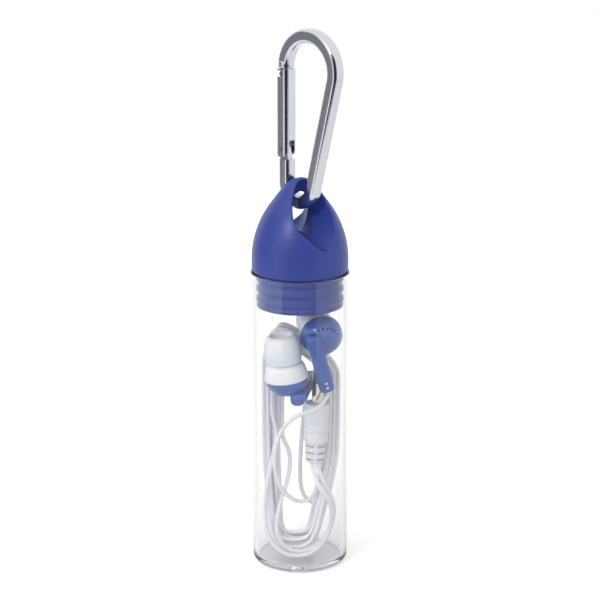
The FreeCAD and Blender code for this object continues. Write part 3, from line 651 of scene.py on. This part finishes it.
def spun(name, outline, steps, material):
    """Turns an outline of (radius, height) in millimetres about Z into a closed shell."""
    mesh = bpy.data.meshes.new(name)
    work = bmesh.new()
    rings = []
    for radius, height in outline:
        if radius < 1e-6:
            rings.append([work.verts.new((0, 0, height * MM))])
            continue
        turns = [2 * math.pi * n / steps for n in range(steps)]
        rings.append([work.verts.new(
            (radius * MM * math.cos(t), radius * MM * math.sin(t), height * MM)) for t in turns])
    for lower, upper in zip(rings, rings[1:]):
        for n in range(steps):
            m = (n + 1) % steps
            corners = [lower[n % len(lower)], lower[m % len(lower)],
                       upper[m % len(upper)], upper[n % len(upper)]]
            work.faces.new(list(dict.fromkeys(corners)))
    bmesh.ops.recalc_face_normals(work, faces=work.faces)
    for face in work.faces:
        face.smooth = True
    for edge in work.edges:
        edge.smooth = edge.calc_face_angle(0) < SHARP
    work.to_mesh(mesh)
    work.free()
    mesh.materials.append(material)
    piece = bpy.data.objects.new(name, mesh)
    bpy.context.scene.collection.objects.link(piece)
    return piece


def held_straight(start, end, reach=0.25):
    """Two points on a line, near its ends. Without them the smooth normals of the rounds would
    lean along the whole wall, and clear plastic would bend the light wrongly."""
    start, end = Vector(start), Vector(end)
    way = (end - start).normalized() * reach
    return [tuple(start + way), tuple(end - way)]


def tube_outline():
    """The wall of the tube from the middle of its foot round to the middle of its floor."""
    foot, inner, lip = 1.5, 1.0, 0.18
    mark, mark_depth = 1.6, 0.35
    slope = (tube_rim_radius - tube_base_radius) / tube_height
    inner_base = tube_base_radius - tube_wall
    inner_rim = tube_rim_radius - tube_wall
    foot_round = arc((tube_base_radius + slope * foot - foot, foot), foot, -90, 0, 10)
    outer_lip = arc((tube_rim_radius - lip, tube_height - lip), lip, 0, 90, 4)
    inner_lip = arc((inner_rim + lip, tube_height - lip), lip, 90, 180, 4)
    inner_round = arc((inner_base - inner, tube_floor + inner), inner, 0, -90, 8)
    return (
        [(0, 0)] + held_straight((0, 0), foot_round[0])
        + foot_round + held_straight(foot_round[-1], outer_lip[0])
        + outer_lip + held_straight(outer_lip[-1], inner_lip[0])
        + inner_lip + held_straight(inner_lip[-1], inner_round[0])
        + inner_round + held_straight(inner_round[-1], (mark, tube_floor))
        + [(mark, tube_floor), (mark, tube_floor - mark_depth), (0, tube_floor - mark_depth)]
    )


tube = spun("clear_tube", tube_outline(), steps=180, material=clear_tube)
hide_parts("case_tube")
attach(tube, "case")
print("clear tube faces:", len(tube.data.polygons))

# %% [markdown]
# ### Side marks
# Earphones are told apart by feel: one raised dot on the left stem and two on the right. They
# are repeated shapes, so Geometry Nodes place them: a row of points, a low dome on each point.

# %% Side marks


def dot_row_tree():
    """Geometry Nodes: a row of low domes along X."""
    tree = bpy.data.node_groups.new("dot_row", "GeometryNodeTree")
    for name, kind in (("Count", "NodeSocketInt"), ("Pitch", "NodeSocketFloat"),
                       ("Radius", "NodeSocketFloat"), ("Material", "NodeSocketMaterial")):
        tree.interface.new_socket(name, in_out="INPUT", socket_type=kind)
    tree.interface.new_socket("Geometry", in_out="OUTPUT", socket_type="NodeSocketGeometry")
    given = add(tree, "NodeGroupInput")
    step = add(tree, "ShaderNodeCombineXYZ", {"X": given.outputs["Pitch"]})
    row = add(tree, "GeometryNodeMeshLine", {
        "Count": given.outputs["Count"], "Offset": step.outputs["Vector"]})
    dome = add(tree, "GeometryNodeMeshUVSphere", {
        "Segments": 24, "Rings": 12, "Radius": given.outputs["Radius"]})
    flat = add(tree, "GeometryNodeTransform", {
        "Geometry": dome.outputs["Mesh"], "Scale": (1, 1, 0.35)})
    dots = add(tree, "GeometryNodeInstanceOnPoints", {
        "Points": row.outputs["Mesh"], "Instance": flat.outputs["Geometry"]})
    real = add(tree, "GeometryNodeRealizeInstances", {"Geometry": dots.outputs["Instances"]})
    painted = add(tree, "GeometryNodeSetMaterial", {
        "Geometry": real.outputs["Geometry"], "Material": given.outputs["Material"]})
    smooth = add(tree, "GeometryNodeSetShadeSmooth", {"Geometry": painted.outputs["Geometry"]})
    add(tree, "NodeGroupOutput", {"Geometry": smooth.outputs["Geometry"]})
    return tree


def made_by(tree, name, values):
    """Runs a Geometry Nodes tree on an empty mesh and keeps the result as a plain mesh."""
    holder = bpy.data.objects.new(name + "_holder", bpy.data.meshes.new(name + "_holder"))
    bpy.context.scene.collection.objects.link(holder)
    modifier = holder.modifiers.new("made", "NODES")
    modifier.node_group = tree
    for item in tree.interface.items_tree:
        if item.in_out == "INPUT" and item.name in values:
            modifier[item.identifier] = values[item.name]
    evaluated = holder.evaluated_get(bpy.context.evaluated_depsgraph_get())
    mesh = bpy.data.meshes.new_from_object(evaluated)
    mesh.name = name
    bpy.data.objects.remove(holder)
    piece = bpy.data.objects.new(name, mesh)
    bpy.context.scene.collection.objects.link(piece)
    return piece


dot_pitch, dot_radius, dot_sink = 1.5, 0.42, 0.02
dots_along_stem = 11.2
mark_ink = finish("side_mark_paint", "dcd6c4", "d2ccba", 0.3, 0.05, Roughness=0.5)
dot_tree = dot_row_tree()
for name, count in (("left", 1), ("right", 2)):
    side, place = bud_frames[name]
    dots = made_by(dot_tree, name + "_side_mark", {
        "Count": count, "Pitch": dot_pitch * MM, "Radius": dot_radius * MM, "Material": mark_ink})
    corner = Vector((dots_along_stem, side * stem_beside, -stem_back - stem_depth / 2 - dot_sink))
    to_stem = CONTENTS_TURN @ Matrix.Scale(MM, 4) @ place @ Matrix.Translation(corner)
    dots.data.transform(to_stem @ Matrix.Scale(1 / MM, 4))
    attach(dots, "earphones")
print("side marks placed")

# %% [markdown]
# ## Studio
# A white table and a white surround, as for a catalogue picture. Clear plastic and polished
# metal only show what they mirror, so a dark strip stands in front, out of the camera's sight,
# as a photographer's black flag does: it keeps the middle of the tube clear and gives the
# aluminium its dark edges, while the white on both sides leaves long soft highlights. A paler
# strip at the side greys the rod. Through plastic and in mirrors the floor glows in full only
# behind the object, so the tube's edges, which gather light from the sides, keep a faint outline.

# %% Floor
floor_mesh = bpy.data.meshes.new("floor")
work = bmesh.new()
floor_radius, floor_lift = 0.6, 0.35
bmesh.ops.create_circle(work, cap_ends=True, segments=96, radius=floor_radius)
work.to_mesh(floor_mesh)
work.free()
floor = bpy.data.objects.new("floor", floor_mesh)
bpy.context.scene.collection.objects.link(floor)
floor.location.z = -0.0001


def seen_directly(tree):
    """One for what the camera sees directly, in a mirror or through clear plastic."""
    path = add(tree, "ShaderNodeLightPath")
    total = path.outputs["Is Camera Ray"]
    for name in ("Is Glossy Ray", "Is Transmission Ray"):
        higher = add(tree, "ShaderNodeMath", {0: total, 1: path.outputs[name]}, operation="MAXIMUM")
        total = higher.outputs[0]
    return total


def white_table():
    """Matt white with a glow: full for the camera, and for mirrors and plastic full only behind."""
    material = bpy.data.materials.new("white_table")
    material.use_nodes = True
    tree = material.node_tree
    tree.nodes.remove(tree.nodes["Principled BSDF"])
    matt = add(tree, "ShaderNodeBsdfDiffuse", {"Color": linear("f2f2f2")})
    place = add(tree, "ShaderNodeTexCoord").outputs["Object"]
    way = add(tree, "ShaderNodeVectorMath", {0: place}, operation="NORMALIZE")
    to_back = CONTENTS_TURN.to_3x3() @ Vector((0, 1, 0))
    backness = add(tree, "ShaderNodeVectorMath", {
        0: way.outputs["Vector"], 1: to_back}, operation="DOT_PRODUCT")
    behind = add(tree, "ShaderNodeMapRange", {
        "Value": backness.outputs["Value"], "From Min": 0.8, "From Max": 0.97, "To Min": 0.4})
    beyond = add(tree, "ShaderNodeMath", {
        0: seen_directly(tree), 1: behind.outputs["Result"]}, operation="MULTIPLY")
    camera_ray = add(tree, "ShaderNodeLightPath").outputs["Is Camera Ray"]
    seen = add(tree, "ShaderNodeMath", {0: camera_ray, 1: beyond.outputs[0]}, operation="MAXIMUM")
    lift = add(tree, "ShaderNodeMath", {0: seen.outputs[0], 1: floor_lift}, operation="MULTIPLY")
    glow = add(tree, "ShaderNodeEmission", {"Strength": lift.outputs[0]})
    both = add(tree, "ShaderNodeAddShader", {0: matt.outputs[0], 1: glow.outputs[0]})
    tree.links.new(both.outputs[0], tree.nodes["Material Output"].inputs["Surface"])
    return material


floor.data.materials.append(white_table())

# %% [markdown]
# ### Surround
# White where it is seen directly, and softer as a light, from the front left. Rays that pass
# through the tube find it brighter on that side, up to through_most times white. That is more
# light on the contents than a plain white room gives, so in plain light they look darker.

# %% Surround
soft_least, through_most = 0.45, 2.1
world = bpy.data.worlds.new("white_surround")
bpy.context.scene.world = world
world.use_nodes = True
tree = world.node_tree
background = tree.nodes["Background"]
direct = seen_directly(tree)
way = add(tree, "ShaderNodeTexCoord").outputs["Generated"]
lit_from = CONTENTS_TURN.to_3x3() @ Vector((-0.6, -0.55, 0.58))
facing = add(tree, "ShaderNodeVectorMath", {0: way, 1: lit_from}, operation="DOT_PRODUCT")
soft = add(tree, "ShaderNodeMapRange", {
    "Value": facing.outputs["Value"], "From Min": -1.0, "From Max": 1.0,
    "To Min": soft_least, "To Max": 1.0})
through = add(tree, "ShaderNodeLightPath").outputs["Is Transmission Ray"]
inner = add(tree, "ShaderNodeMapRange", {
    "Value": facing.outputs["Value"], "From Min": -0.2, "From Max": 1.0,
    "To Min": 1.0, "To Max": through_most})
bright = add(tree, "ShaderNodeMix", {"Factor": through, "A": 1.0, "B": inner.outputs["Result"]})
level = add(tree, "ShaderNodeMix", {
    "Factor": direct, "A": soft.outputs["Result"], "B": bright.outputs["Result"]})
tree.links.new(level.outputs["Result"], background.inputs["Strength"])
background.inputs["Color"].default_value = (1, 1, 1, 1)

# %% Flags and lamp


def round_card(name, radius, from_degrees, to_degrees, low, high, steps=24):
    """A strip that stands around the object; zero degrees is towards the camera."""
    mesh = bpy.data.meshes.new(name)
    work = bmesh.new()
    pairs = []
    for n in range(steps + 1):
        turn = math.radians(from_degrees + (to_degrees - from_degrees) * n / steps)
        x, y = radius * math.sin(turn), -radius * math.cos(turn)
        pairs.append([work.verts.new(CONTENTS_TURN @ Vector((x, y, z))) for z in (low, high)])
    for (a, b), (c, d) in zip(pairs, pairs[1:]):
        work.faces.new((a, c, d, b))
    work.to_mesh(mesh)
    work.free()
    card = bpy.data.objects.new(name, mesh)
    bpy.context.scene.collection.objects.link(card)
    card.visible_camera = card.visible_diffuse = card.visible_shadow = False
    card.visible_transmission = card.visible_volume_scatter = False
    return card


def matt_card(name, colour):
    """The even colour that a card shows in a reflection."""
    material = bpy.data.materials.new(name)
    material.use_nodes = True
    tree = material.node_tree
    tree.nodes.remove(tree.nodes["Principled BSDF"])
    glow = add(tree, "ShaderNodeEmission", {"Color": linear(colour), "Strength": 1.0})
    tree.links.new(glow.outputs[0], tree.nodes["Material Output"].inputs["Surface"])
    return material


flag = round_card("front_flag", radius=0.22, from_degrees=-40, to_degrees=36, low=-0.001, high=0.3)
flag.data.materials.append(matt_card("flag_cloth", "2c2c30"))
side_flag = round_card("side_flag", radius=0.3, from_degrees=-120, to_degrees=-70, low=0.02, high=0.32)
side_flag.data.materials.append(matt_card("side_flag_cloth", "85868c"))


def area_lamp(name, place, aim, size, power):
    """A square lamp; its place and aim are in the contents' directions, in metres."""
    data = bpy.data.lights.new(name, "AREA")
    data.shape = "SQUARE"
    data.size = size
    data.energy = power
    lamp = bpy.data.objects.new(name, data)
    bpy.context.scene.collection.objects.link(lamp)
    lamp.location = CONTENTS_TURN @ Vector(place)
    towards = (CONTENTS_TURN @ Vector(aim)) - lamp.location
    lamp.rotation_euler = towards.to_track_quat("-Z", "Y").to_euler()


area_lamp("key", place=(-0.30, -0.42, 0.45), aim=(0, 0, 0.07), size=0.09, power=1.1)
print("lamps:", len(bpy.data.lights))
